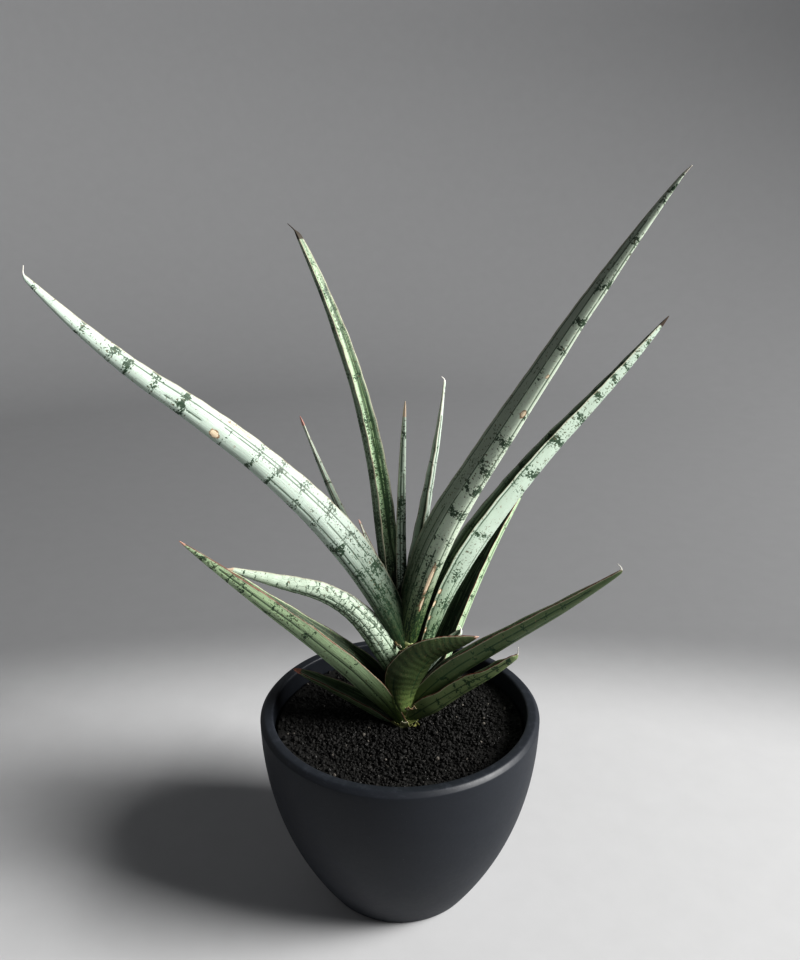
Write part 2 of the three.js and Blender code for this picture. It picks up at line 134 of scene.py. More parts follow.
LEAVES = (
    leaf("leaf_centre_spear", (110, 60), 44, 4, 108, (6, 6, 6, 4), 5, 4.5,
         channel=0.2, roll=(110, 110), taper=0.5, awl=5, speckle=0.5, mottled=(45, 0.9), spacing=11,
         bands=((94, 1.2, 0.9), (78, 1, 0.6), (62, 2, 1), (57, 2, 1), (46, 1.2, 0.8), (30, 7, 0.95),
                (18, 5, 0.9)),
         skin=(200, 214, 200), hollow=(190, 206, 190), stripes=0.15, dry=(226, 206, 184),
         dry_length=6.5),
    leaf("leaf_slim_back_right", (47, 47), 44, 2, 121, (6, 12, 14, 6), 11.5, 5,
         taper=0.7, root=(0.65, 0.55), roll=(15, 45), awl=4, curl=-60, mottled=(50, 0.5),
         # Its channel is two-tone: the far part is darkened with painted shade, and the paler near
         # wall is partly painted light.
         skin=(216, 230, 218), hollow=(170, 190, 168), far_hollow=(44, 60, 42), far_from=-0.4,
         stripes=0.5, lip=1.2, dry=(240, 238, 232)),
    leaf("leaf_tall_back", (145, 145), 36, 4, 200, (10, 7, 21.5, 33), 11, 7.5,
         # Its darker skin and base are partly its own greener colour and partly painted shade from
         # the leaves beside it.
         channel=0.6, taper=0.5, awl=8, curl=25, skin=(150, 168, 146), base=(96, 118, 84),
         # Its channel is two-tone: the far half is darkened with painted shade, and the pale near
         # wall is partly painted light.
         hollow=(180, 202, 172), far_hollow=(62, 88, 56), stripes=0.9, lip=1.4, thread=True,
         speckle=0.7, mottled=(150, 0.35),
         bands=((180, 1.5, 0.7), (166, 1.6, 0.9), (158, 1.2, 0.6), (150, 1.4, 0.7),
                (129, 1.6, 0.8), (109, 2, 0.7), (86, 2, 0.8), (63, 2.5, 0.7), (40, 3, 0.7)),
         dry=(78, 72, 64), dry_length=9),
    leaf("leaf_short_back_left", (130, 130), 42, 0, 60, (34, 36, 36, 34), 6, 5,
         channel=0.3, taper=0.7, speckle=0.6, mottled=(60, 0.7), edge=0.8,
         dry=(222, 184, 172), dry_length=1.6),
    leaf("leaf_slim_back_left", (150, 150), 40, 0, 115, (33, 31, 27, 24), 7, 5,
         channel=0.2, taper=0.7, roll=(-12, -12), awl=4, mottled=(60, 0.6),
         hollow=(190, 206, 190), stripes=0.2,
         bands=((104, 1, 0.8), (94, 1.2, 0.9), (82, 1.6, 1), (71, 1.2, 1), (63, 1.4, 1),
                (52, 1.5, 0.8), (40, 2, 0.8)),
         dry=(206, 160, 150), dry_length=4),
    leaf("leaf_long_right", (345, 345), 42, 1, 235, (8, 29, 29.5, 33.5), 14, 13.5,
         channel=0.4, swell=0.22, taper=0.7, roll=(60, 65), awl=6, curl=8,
         dry=(232, 226, 214), skin=(216, 229, 211), base=(108, 128, 84), speckle=0.35,
         # Past 46 degrees round its outer side, this leaf's flank is darkened with painted shade
         # and its bands fade.
         mottled=(72, 0.8), plain_from=46,
         lines=((44, 0, 0.9), (-4, 0, 0.86), (62, 0, 0.3), (22, 0, 0.22), (-50, 0, 0.6),
                (80, 0, 0.9)),
         bands=((224, 2, 1), (219, 1.5, 0.7), (203, 1.7, 1), (190, 1.2, 0.7), (183, 1.8, 1),
                (166, 2, 1), (154, 2, 0.9), (141, 1.6, 0.6), (122, 1.4, 0.6), (110, 3, 1),
                (95, 2.2, 1), (84, 2.4, 1), (71, 2.6, 1), (58, 2, 0.8), (45, 2.5, 0.9),
                (30, 3, 0.8)),
         scars=((123.8, 6, (1.7, 1.3)), (36, 4, (13, 0.9)), (22, 2, (7, 0.6)),
                (142.2, 4, (0.9, 0.7)))),
    leaf("leaf_long_left", (186, 184), 42, 3, 229, (19, 41.5, 53, 39), 14, 13,
         swell=0.25, root=(0.85, 0.65), roll=(-50, -60), awl=6, curl=-50,
         dry=(240, 238, 230),
         # Its dark base is partly dense mottling and partly painted shade from the leaves beside
         # it.
         skin=(198, 213, 202), base=(72, 92, 64), speckle=0.3, mottled=(84, 0.9),
         lines=((-22, 0, 0.445), (-47, 0, 0.305), (-60, 0.3, 0.56), (-36, 0.6, 0.68),
                (-72, 0.2, 0.8), (30, 0, 0.5), (58, 0, 0.3), (-8, 0, 0.26)),
         bands=((220, 1.2, 0.9), (210, 1.2, 0.9), (198, 1.5, 0.9), (181, 1.7, 1),
                (173, 1.6, 1), (162, 1.8, 1), (147, 2.2, 1), (126, 1.2, 0.6), (111, 2, 0.8),
                (100, 2.2, 0.9), (86, 2, 0.9), (73, 2.6, 0.8), (58, 3, 0.8), (40, 3, 0.8)),
         scars=((130.2, -24, (2.5, 1.7)), (123, -82, (7, 0.6)))),
    leaf("leaf_upper_right", (18, 18), 36, 8, 189.5, (14, 38, 47, 42), 14, 11,
         channel=0.65, swell=0.3, roll=(12, 22), awl=4, skin=(196, 212, 198), speckle=0.4,
         mottled=(58, 0.95),
         lines=((32, 0.05, 0.34), (52, 0, 0.22), (80, 0, 0.6), (-40, 0, 0.7)), wave=(0.1, 15),
         bands=((182, 1.6, 0.9), (176, 1.2, 1), (168, 1.5, 1), (160, 1.6, 1), (152, 2.2, 1),
                (143, 2, 1), (129, 2, 1), (115, 2.4, 1), (97, 3, 1), (88, 2, 0.7),
                (62, 2.4, 0.75), (42, 6, 0.6), (26, 4, 0.7), (12, 4, 0.8)),
         scars=((31, 84, (1.3, 0.7)), (25, 85, (1.6, 0.7)), (18, 84, (1.0, 0.6)),
                (12, 85, (1.5, 0.7))),
         dry=(74, 62, 52), dry_length=5.5),
    leaf("leaf_back_right", (45, 45), 6, 6, 118, (44, 35, 42, 50), 15, 9,
         channel=0.65, roll=(0, 25), skin=(176, 198, 166), edge=0.9, speckle=0.4,
         mottled=(40, 0.5), hollow=(60, 84, 58),
         bands=((112, 1, 0.8), (103, 1, 0.8), (95, 0.9, 1), (86, 0.8, 0.9), (76, 1, 1),
                (66, 0.8, 0.8), (57, 1, 1), (47, 0.8, 0.7), (38, 1.2, 1), (27, 1, 0.8),
                (18, 1.2, 0.9))),
    leaf("leaf_small_back_right", (20, 20), 20, 2, 37, (46, 50, 52, 46), 9, 5,
         taper=0.5, awl=5, curl=-80, dry=(240, 238, 230)),
    leaf("leaf_arching_left", (190, 190), 21, 3, 107, (20, 35.5, 72, 67), 14, 9.5,
         channel=0.4, taper=0.62, root=(0.85, 0.85), roll=(-35, -60), awl=6, ribs=0.5,
         spacing=5.2, skin=(204, 220, 202), mottled=(26, 0.3), net=1.0,
         lines=((14, 0.05, 0.78), (-12, 0.05, 0.7), (-38, 0, 0.55), (-62, 0, 0.45), (44, 0, 0.6)),
         bands=tuple((at, 0.42, 0.86) for at in
                     (97, 92, 87, 82, 77.4, 72.5, 68, 64, 60.5, 57, 54, 50.5, 47, 44, 40.5,
                      37, 33, 29, 25, 21, 16, 11)),
         dry=(226, 204, 180), dry_length=5, thread=True),
    leaf("leaf_short_front", (346, 346), 11.5, 6, 57, (-6, 23, 65, 63), 23, 10,
         side=270, channel=0.5, swell=0.34, taper=0.8, root=(0.5, 0.5), roll=(25, 60),
         # This low leaf's dark skin is partly its own olive colour and partly painted shade.
         ribs=0.9, spacing=3.0, skin=(74, 88, 58), base=(120, 138, 88), edge=1.0,
         speckle=0.1, mottled=(16, 0.35), dry=(232, 196, 180), dry_length=1.2,
         lines=((6, 0.1, 0.7), (60, 0, 0.3), (-60, 0, 0.3)),
         bands=tuple((at, 0.5, 0.6) for at in
                     (9, 12, 14.5, 17, 19.5, 22, 24.3, 26.6, 29, 31.4, 34, 36.5, 39, 42, 45,
                      48))),
    leaf("leaf_lower_right", (350, 350), 6, 2, 125, (32, 53, 54, 49), 13, 10,
         # This low leaf's dark skin is partly its own olive colour and partly painted shade.
         taper=0.6, roll=(12, 20), awl=5, curl=-95, skin=(98, 115, 84), base=(94, 112, 64),
         edge=0.95, speckle=0.15, mottled=(20, 0.2), wave=(0.14, 26), dry=(240, 238, 230),
         bands=((112, 0.8, 0.8), (101, 0.7, 0.9), (92, 0.9, 1), (82, 0.7, 0.8), (71, 0.9, 1),
                (62, 0.7, 0.9), (53, 0.9, 1), (44, 0.8, 0.9), (35, 0.8, 0.8), (26, 1, 0.8))),
    leaf("leaf_lower_left", (197, 197), 4, 4, 137.5, (31, 45, 46, 45), 16, 13,
         taper=0.7, roll=(16, -18), awl=4, skin=(178, 200, 164), base=(96, 118, 64), edge=0.9,
         speckle=0.45, mottled=(52, 0.5), wave=(0.16, 24), dry=(222, 178, 160), dry_length=2.4,
         # Its dark channel is partly its own deep green and partly painted shade.
         hollow=(46, 64, 40), stripes=0.3, lip=0.7,
         bands=((130, 2, 1), (125, 1.4, 1), (120, 1, 0.8), (110, 1, 1), (104.5, 1.3, 1),
                (99, 0.9, 0.7), (87.5, 0.9, 1), (78, 1, 0.5), (66, 0.8, 0.9), (56, 1.2, 0.5),
                (40, 1, 0.5))),
    leaf("leaf_low_right", (342, 345), 3, 4, 66, (46, 50, 54, 44), 14, 9,
         roll=(15, 20), awl=6, curl=-45, skin=(130, 146, 106), base=(106, 126, 84), edge=1.0,
         speckle=0.2, mottled=(30, 0.3), wave=(0.6, 27), dry=(240, 238, 230), spacing=5),
    leaf("leaf_low_left", (174, 174), 0, 7, 52, (58, 63, 64, 66), 12, 6,
         taper=0.5, skin=(120, 138, 104), edge=1.0, dry=(206, 146, 130)),
)
# The low leaves sit in the shade of those above; their dark skins are partly their own colour and
# partly painted shade.
SHADED_LEAVES = ("leaf_short_front", "leaf_lower_right", "leaf_low_right", "leaf_low_left")


# Modelling helpers.


@contextmanager
def editing():
    """Edit mode for as long as a block lasts."""
    bpy.ops.object.mode_set(mode="EDIT")
    yield
    bpy.ops.object.mode_set(mode="OBJECT")


def deselect():
    """Back to object mode with nothing selected."""
    if bpy.context.object and bpy.context.object.mode != "OBJECT":
        bpy.ops.object.mode_set(mode="OBJECT")
    bpy.ops.object.select_all(action="DESELECT")


def added(operator, **values):
    """The object that an operator adds, with nothing else selected."""
    deselect()
    operator(**values)
    return bpy.context.object


def take(made):
    """Makes one object the active and only selected one."""
    deselect()
    made.select_set(True)
    bpy.context.view_layer.objects.active = made


def points_of(made):
    """The vertices of an object's mesh, one row each."""
    rows = np.empty(len(made.data.vertices) * 3)
    made.data.vertices.foreach_get("co", rows)
    return rows.reshape(-1, 3)


def put_points(made, rows):
    """Moves the vertices to new places."""
    made.data.vertices.foreach_set("co", np.ascontiguousarray(rows).ravel())
    made.data.update()


def write(made, **attributes):
    """Writes attributes that have a number, a vector or a colour for each vertex."""
    kinds = {1: ("FLOAT", "value"), 3: ("FLOAT_VECTOR", "vector"), 4: ("FLOAT_COLOR", "color")}
    for name, values in attributes.items():
        kind, key = kinds[values.size // len(values)]
        layer = made.data.attributes.new(name, kind, "POINT")
        layer.data.foreach_set(key, np.ascontiguousarray(values, dtype=float).ravel())


def choose_edges(made, chosen):
    """Selects the edges whose two ends pass a test, and no others."""
    with editing():
        bpy.ops.mesh.select_mode(type="EDGE")
        bpy.ops.mesh.select_all(action="DESELECT")
    points = points_of(made)
    for edge in made.data.edges:
        edge.select = bool(chosen(points[list(edge.vertices)]))


def outwards(made):
    """Turns all faces outwards and shades them smoothly."""
    take(made)
    with editing():
        bpy.ops.mesh.select_all(action="SELECT")
        bpy.ops.mesh.normals_make_consistent(inside=False)
    bpy.ops.object.shade_smooth()


def settle(made, name, material, slot, *nodes):
    """Names a finished piece, dresses it, hangs it on the root and hides the solids it replaces."""
    take(made)
    bpy.ops.object.transform_apply(location=True, rotation=True, scale=True)
    made.name = name
    made.data.name = name
    made.data.materials.clear()
    made.data.materials.append(material)
    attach(made, "root")
    if nodes:
        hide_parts(*nodes)
    return made


def turned(profile, segments, x=0.0, y=0.0, closed=True):
    """A solid of revolution, or an open bowl, from (radius, height) pairs in millimetres.

    A circle is extruded and scaled ring by ring. A fan closes its start, and a closed one's end.
    """
    radius, height = profile[0]
    made = added(
        bpy.ops.mesh.primitive_circle_add, vertices=segments, radius=radius * MM,
        fill_type="TRIFAN", location=(x * MM, y * MM, height * MM))
    halfway = radius * MM / 2
    choose_edges(made, lambda ends: np.hypot(ends[:, 0], ends[:, 1]).min() > halfway)
    with editing():
        for wanted, level in profile[1:]:
            bpy.ops.mesh.extrude_edges_move(
                TRANSFORM_OT_translate={"value": (0, 0, (level - height) * MM)})
            share = wanted / radius
            bpy.ops.transform.resize(
                value=(share, share, 1), center_override=(x * MM, y * MM, level * MM))
            radius, height = wanted, level
        if closed:
            bpy.ops.mesh.merge(type="CENTER")
    if closed:
        outwards(made)
    else:
        bpy.ops.object.shade_smooth()
    return made


def wobble(points, wave, seed, terms=6):
    """A smooth random field from -1 to 1, with a typical wavelength in the points' own unit."""
    draw = np.random.default_rng(seed)
    turns = draw.normal(size=(terms, points.shape[1]))
    turns /= np.linalg.norm(turns, axis=1, keepdims=True)
    waves = 2 * math.pi / (wave * draw.uniform(0.6, 1.7, terms))
    phases = draw.uniform(0, 2 * math.pi, terms)
    field = np.sin((points @ turns.T) * waves + phases)
    return field.sum(axis=1) / math.sqrt(terms) * 0.75


def smooth(value, low, high):
    """0 below low, 1 above high, and a smooth rise between."""
    share = np.clip((value - low) / (high - low), 0, 1)
    return share * share * (3 - 2 * share)


# Materials.


class Wire:
    """A number, vector or colour inside a material, with the arithmetic of plain numbers."""

    def __init__(self, finish, socket):
        self.finish = finish
        self.socket = socket

    def __add__(self, other):
        return self.finish.maths("ADD", self, other)

    def __sub__(self, other):
        return self.finish.maths("SUBTRACT", self, other)

    def __rsub__(self, other):
        return self.finish.maths("SUBTRACT", other, self)

    def __mul__(self, other):
        return self.finish.maths("MULTIPLY", self, other)

    __radd__ = __add__
    __rmul__ = __mul__


class Finish:
    """A material and the few kinds of node it is made of."""

    def __init__(self, name):
        self.material = bpy.data.materials.new(name)
        self.material.use_nodes = True
        self.tree = self.material.node_tree
        self.shader = self.tree.nodes["Principled BSDF"]

    def node(self, kind, settings=None, inputs=None, output=0):
        """Adds a node, with its settings first and then its sockets' values or links."""
        made = self.tree.nodes.new(kind)
        for key, value in (settings or {}).items():
            setattr(made, key, value)
        for key, value in (inputs or {}).items():
            self.feed(made.inputs[key], value)
        return Wire(self, made.outputs[output])

    def feed(self, socket, value):
        """Links a wire to a socket, or gives the socket a plain value."""
        if isinstance(value, Wire):
            self.tree.links.new(value.socket, socket)
        elif isinstance(value, tuple) and len(value) == 3 and socket.type == "RGBA":
            socket.default_value = (*value, 1.0)
        else:
            socket.default_value = value

    def set(self, **sockets):
        """Feeds the shader's own sockets; an underscore stands for a space."""
        for key, value in sockets.items():
            self.feed(self.shader.inputs[key.replace("_", " ")], value)
        return self.material

    def maths(self, operation, first, second=0.0):
        """Arithmetic on numbers."""
        return self.node("ShaderNodeMath", {"operation": operation}, {0: first, 1: second})

    def most(self, first, second):
        """The larger of two numbers."""
        return self.maths("MAXIMUM", first, second)

    def vector(self, operation, first, second):
        """Vector arithmetic. The second value is a number for SCALE and a vector otherwise."""
        key = "Scale" if operation == "SCALE" else 1
        return self.node("ShaderNodeVectorMath", {"operation": operation}, {0: first, key: second})

    def between(self, value, low, high, start=0.0, end=1.0):
        """A smooth step from start to end as the value goes from low to high."""
        return self.node(
            "ShaderNodeMapRange", {"interpolation_type": "SMOOTHSTEP"},
            {"Value": value, "From Min": low, "From Max": high, "To Min": start, "To Max": end})

    def mix(self, share, first, second):
        """Two colours mixed: all the first at a share of 0, and all the second at 1."""
        return self.node(
            "ShaderNodeMix", {"data_type": "RGBA"}, {0: share, 6: first, 7: second}, 2)

    def tint(self, colour, factor):
        """A colour made lighter or darker by a number that varies."""
        return self.vector("SCALE", colour, factor)

    def moved(self, place, push, amount):
        """Places pushed about by a coloured noise, so that a pattern's edges run unevenly."""
        centred = self.vector("SUBTRACT", push, (0.5, 0.5, 0.5))
        return self.vector("ADD", place, self.vector("SCALE", centred, amount))

    def noise(self, place, scale, detail=2.0, rough=0.5, output=0):
        """Soft noise. Three scales instead of one give a pattern that is longer one way."""
        if isinstance(scale, tuple):
            place = self.vector("MULTIPLY", place, scale)
            scale = 1.0
        return self.node(
            "ShaderNodeTexNoise", {},
            {"Vector": place, "Scale": scale, "Detail": detail, "Roughness": rough}, output)

    def cells(self, place, scale, feature="F1"):
        """Distances in a pattern of cells: from their middles, or from their edges."""
        return self.node(
            "ShaderNodeTexVoronoi", {"feature": feature}, {"Vector": place, "Scale": scale})

    def attribute(self, name, output=2):
        """A mesh attribute as a colour (0), a vector (1) or a number (2)."""
        return self.node("ShaderNodeAttribute", {"attribute_name": name}, {}, output)

    def parts(self, vector):
        """The three numbers of a vector."""
        made = self.node("ShaderNodeSeparateXYZ", {}, {0: vector})
        return tuple(Wire(self, socket) for socket in made.socket.node.outputs)

    def place(self):
        """The point on the piece itself, in metres."""
        return self.node("ShaderNodeTexCoord", {}, {}, 3)

    def bump(self, height, distance, strength=1.0, below=None):
        """Relief for the shader's normal, on top of another relief if one is below."""
        inputs = {"Height": height, "Distance": distance, "Strength": strength}
        if below is not None:
            inputs["Normal"] = below
        return self.node("ShaderNodeBump", {}, inputs)


def leaf_skin(colours):
    """Pale waxy skin with ragged dark cross bands, lengthwise lines, red margins and a dry tip."""
    finish = Finish("leaf_skin")
    place = finish.attribute("place", 1)
    groove, margin, tip = finish.parts(finish.attribute("lines", 1))
    bands, mottle, specks = finish.parts(finish.attribute("marks", 1))
    striped, net, edged = finish.parts(finish.attribute("kinds", 1))
    scar = finish.attribute("scar")
    ground = finish.attribute("ground", 0)
    dry_colour = finish.attribute("dry", 0)

    ragged = (0.47, 0.62)
    push = finish.noise(place, 0.6, 2, 0.5, 1)
    shifted = finish.moved(place, push, 2.0)
    streaks = finish.noise(shifted, (0.3, 1.1, 0.3), 2, 0.6)
    fine = finish.noise(place, (1.0, 0.95, 1.0), 3, 0.65)
    likely = bands * 0.8 + (streaks - 0.5) * 1.1 + (fine - 0.5) * 2.1
    banded = finish.between(likely, *ragged)

    strands = finish.noise(shifted, (1.3, 0.17, 1.3), 2, 0.5)
    likely = mottle * 0.6 + (strands - 0.5) * 2.0 + (fine - 0.5) * 1.2
    mottled = finish.between(likely, *ragged)
    meshes = finish.vector("MULTIPLY", shifted, (0.3, 0.24, 0.3))
    edges = finish.cells(meshes, 1.0, "DISTANCE_TO_EDGE")
    uneven = (fine - 0.5) * 0.14 + (streaks - 0.5) * 0.2
    netted = finish.between(edges + uneven, 0.01, 0.08, 1, 0) * net

    dots = finish.noise(shifted, (0.95, 1.1, 0.95), 2, 0.5)
    speckled = finish.between(specks * 0.3 + dots, 0.78, 0.86)

    broken = finish.noise(place, (0.7, 0.14, 0.7), 2, 0.6)
    lined = finish.between(groove, 0.14, 0.46, 1, 0) * finish.between(broken, 0.28, 0.44)
    dark = finish.most(finish.most(banded, speckled * 0.9), finish.most(mottled, netted * 0.9))
    dark = finish.most(dark, lined * 0.85)

    bloom = finish.noise(place, 0.09, 3, 0.55)
    grain = finish.noise(place, (3.2, 0.14, 3.2), 2, 0.5)
    light = 0.8 + bloom * 0.28 + grain * 0.12
    skin = finish.tint(ground, light)
    stripe = finish.noise(place, (1.5, 0.03, 1.5), 2, 0.55)
    pale_stripe = finish.between(stripe, 0.52, 0.6) * striped
    skin = finish.mix(pale_stripe * 0.7, skin, colours["stripe"])
    dark_stripe = finish.between(stripe, 0.36, 0.45, 1, 0) * striped
    skin = finish.mix(dark_stripe * 0.6, skin, colours["band_deep"])
    shade = finish.noise(place, 1.2, 2, 0.5)
    marks = finish.mix(shade, colours["band_deep"], colours["band"])
    coloured = finish.mix(dark * 0.94, skin, marks)

    edge_break = finish.noise(place, 0.5, 2, 0.5)
    pale_edge = finish.between(margin, 0.25, 0.85, 1, 0) * 0.55
    coloured = finish.mix(pale_edge, coloured, colours["margin_pale"])
    red_edge = finish.between(margin + (edge_break - 0.5) * 0.5, 0.12, 0.36, 1, 0)
    coloured = finish.mix(red_edge * edged, coloured, colours["margin_red"])

    rim = finish.between(scar + (dots - 0.5) * 0.3, 0.02, 0.14)
    heart = finish.between(scar + (fine - 0.5) * 0.5, 0.16, 0.3)
    coloured = finish.mix(rim, coloured, colours["scar_rim"])
    coloured = finish.mix(heart, coloured, colours["scar_heart"])

    blush = finish.between(tip, 0.2, 1.8, 1, 0) * finish.between(edged, 0.5, 0.8)
    coloured = finish.mix(blush * 0.35, coloured, colours["margin_red"])
    withered = finish.between(tip + (shade - 0.5) * 1.6, 0.0, 0.9, 1, 0)
    coloured = finish.mix(withered, coloured, dry_colour)

    ridges = finish.bump(grain, 0.00022, 0.7)
    pores = finish.noise(place, 4.5, 2, 0.6)
    relief = finish.bump(pores + dark * -0.6, 0.00008, 0.6, ridges)
    rough = 0.4 + pores * 0.14 + withered * 0.25 - dark * 0.06
    return finish.set(
        Base_Color=coloured, Roughness=rough, Normal=relief, Specular_IOR_Level=0.5)


def pot_stoneware(settings):
    """Matte charcoal with a faint mottle, pale dust specks and a lightly worn rim."""
    finish = Finish("pot_matte")
    place = finish.place()
    height = finish.parts(place)[2]
    mottle = finish.noise(place, 38, 4, 0.6)
    wash = finish.noise(place, (22, 22, 77), 3, 0.55)
    fine = finish.noise(place, 1500, 2, 0.6)
    grain = finish.noise(place, 420, 3, 0.65)
    light = 0.74 + mottle * 0.3 + wash * 0.2 + (fine - 0.5) * 0.3
    base = finish.tint(tuple(settings.colour), light)
    speck = finish.between(finish.cells(place, 700), 0.0, 0.16, 1, 0)
    chosen = finish.between(finish.noise(place, 130, 1), 0.6, 0.66)
    base = finish.mix(speck * chosen * 0.5, base, srgb(120, 120, 118))
    on_rim = finish.between(height, settings.height - 0.0028, settings.height - 0.0006)
    scuff = finish.between(finish.noise(place, (240, 240, 960), 4, 0.7), 0.5, 0.72)
    base = finish.mix(on_rim * (scuff * 0.16 + 0.02), base, srgb(104, 108, 118))
    rough = 0.41 + mottle * 0.18 + grain * 0.1 - on_rim * 0.06
    relief = finish.bump(grain + fine * 0.6, 0.00006, 0.5)
    return finish.set(
        Base_Color=base, Roughness=rough, Normal=relief, Specular_IOR_Level=0.55)


def soil_grit(name, loose):
    """Near-black mineral crumbs, each its own tone, with a few pale chips among them."""
    finish = Finish(name)
    place = finish.place()
    fine = finish.noise(place, 2600, 2, 0.6)
    lump = finish.noise(place, 700, 2, 0.6)
    if loose:
        tone = finish.attribute("tone")
    else:
        tone = finish.noise(place, 420, 2, 0.6)
    dark = finish.mix(tone, srgb(8, 8, 8), srgb(52, 51, 50))
    base = finish.tint(dark, 0.6 + fine * 0.8)
    if loose:
        base = finish.mix(finish.between(tone, 0.95, 0.99), base, srgb(104, 100, 95))
    glint = finish.between(lump, 0.56, 0.66)
    rough = 0.8 - glint * 0.42
    relief = finish.bump(fine + lump, 0.00012, 0.8)
    return finish.set(
        Base_Color=base, Roughness=rough, Normal=relief, Specular_IOR_Level=0.5)


def stem_skin():
    """Pale green where it is fresh, tan and papery on the ring scars."""
    finish = Finish("stem_skin")
    place = finish.place()
    along = finish.parts(place)[2]
    rings = finish.noise(place, (180, 180, 900), 3, 0.6)
    blotch = finish.noise(place, 260, 3, 0.6)
    fibre = finish.noise(place, (1920, 1920, 320), 2, 0.6)
    low = finish.between(along, SOIL_LEVEL * MM, (SOIL_LEVEL + 12) * MM, 1, 0)
    base = finish.mix(finish.between(blotch, 0.35, 0.65), srgb(172, 184, 132), srgb(206, 210, 172))
    base = finish.mix(finish.between(rings, 0.56, 0.66) * 0.7, base, srgb(150, 116, 74))
    base = finish.mix(low * 0.85, base, srgb(112, 122, 62))
    relief = finish.bump(fibre + rings, 0.0002, 0.7)
    return finish.set(Base_Color=base, Roughness=0.5 + blotch * 0.2, Normal=relief)


def papery():
    """The dry skin that old leaves leave behind: cream to brown, thin and fibrous."""
    finish = Finish("papery_sheath")
    place = finish.place()
    fibre = finish.noise(place, (2100, 2100, 420), 3, 0.6)
    blotch = finish.noise(place, 300, 2, 0.6)
    base = finish.mix(finish.between(blotch, 0.4, 0.62), srgb(228, 224, 206), srgb(172, 148, 116))
    along = finish.parts(place)[2]
    low = finish.between(along, (SOIL_LEVEL + 2.5) * MM, (SOIL_LEVEL + 5) * MM, 1, 0)
    base = finish.mix(low * 0.8, base, srgb(132, 140, 76))
    base = finish.tint(base, 0.75 + fibre * 0.5)
    relief = finish.bump(fibre, 0.00015, 0.8)
    return finish.set(Base_Color=base, Roughness=0.7 + fibre * 0.15, Normal=relief)


def stage_paint(settings):
    """A pale floor that deepens to a soft grey away from the pot: a painted pool of light with
    painted falloff to grey.
    """
    finish = Finish("studio_floor")
    place = finish.place()
    x, y, z = finish.parts(place)
    away = finish.maths("SQRT", x * x * 0.2 + y * y + z * z)
    # Painted light: pale near the pot and darker further out, as a lamp's falloff would show.
    far = finish.between(away, settings.pale_within, settings.grey_from)
    fine = finish.noise(place, 60, 3, 0.6)
    base = finish.mix(far, tuple(settings.floor_colour), tuple(settings.wall_colour))
    base = finish.tint(base, 0.97 + fine * 0.06)
    return finish.set(Base_Color=base, Roughness=0.85 + fine * 0.05, Specular_IOR_Level=0.2)


# Leaves.


def leaf_blank(rings):
    """A closed tube of rings x COLUMNS vertices, to be copied and shaped into leaves."""
    blank = added(
        bpy.ops.mesh.primitive_cylinder_add, vertices=COLUMNS, radius=1, depth=1,
        end_fill_type="TRIFAN")
    choose_edges(blank, lambda ends: np.ptp(ends[:, 2]) > 0.5)
    with editing():
        bpy.ops.mesh.subdivide_edgering(number_cuts=rings - 2, interpolation="LINEAR")
    return blank


def fullness(shape, s, root):
    """Thickness at each share s of the length, as a share of the thickest."""
    swell = shape["swell"]
    rising = root + (1 - root) * np.sin(math.pi / 2 * np.clip(s / swell, 0, 1))
    falling = (np.clip(1 - s, 0, 1) / (1 - swell)) ** shape["taper"]
    return np.where(s < swell, rising, falling)


def turned_about(vectors, axes, angles):
    """Each vector turned about its own unit axis."""
    cos = np.cos(angles)[:, None]
    sin = np.sin(angles)[:, None]
    dots = np.sum(vectors * axes, axis=1)[:, None]
    return vectors * cos + np.cross(axes, vectors) * sin + axes * dots * (1 - cos)


def leaf_frames(shape, distances):
    """Directions along, across and out of the channel at each distance from the root."""
    length, awl = shape["length"], shape["awl"]
    s = np.clip(distances / length, 0, 1)
    into_awl = np.clip((distances - (length - awl)) / awl, 0, None)
    curled = shape["curl"] * np.minimum(1, into_awl / CURL_WITHIN)
    lean = np.radians(np.interp(s, (0, 1 / 3, 2 / 3, 1), shape["leans"]) + curled)
    heading = np.radians(np.interp(s, (0, 1), shape["heading"]))
    roll = np.radians(np.interp(s, (0, 1), shape["roll"]))
    level = np.zeros_like(s)
    out = np.stack([np.cos(heading), np.sin(heading), level], 1)
    along = out * np.sin(lean)[:, None]
    along[:, 2] = np.cos(lean)
    flat = np.stack([np.sin(heading), -np.cos(heading), level], 1)
    face = -out * np.cos(lean)[:, None]
    face[:, 2] = np.sin(lean)
    return along, turned_about(flat, along, -roll), turned_about(face, along, -roll)


def leaf_spine(shape, distances):
    """Points of the leaf's middle line. Below the root it bends into the stem."""
    steps = np.linspace(0, shape["length"], 800)
    middles = (steps[1:] + steps[:-1]) / 2
    along = leaf_frames(shape, middles)[0]
    walked = np.vstack([np.zeros(3), np.cumsum(along * np.diff(steps)[:, None], axis=0)])
    side = math.radians(shape["heading"][0] if shape["side"] is None else shape["side"])
    start = np.array([
        STEM_X + shape["out"] * math.cos(side),
        STEM_Y + shape["out"] * math.sin(side),
        SOIL_LEVEL + shape["up"]])
    spine = np.stack([np.interp(distances, steps, walked[:, k]) for k in range(3)], 1) + start
    back = np.clip(-distances / FOOT, 0, 1)[:, None]
    bend = start - along[0] * FOOT * 0.45
    end = np.array([STEM_X, STEM_Y, start[2] - FOOT])
    curve = start * (1 - back) ** 2 + bend * 2 * back * (1 - back) + end * back ** 2
    return np.where(back > 0, curve, spine)


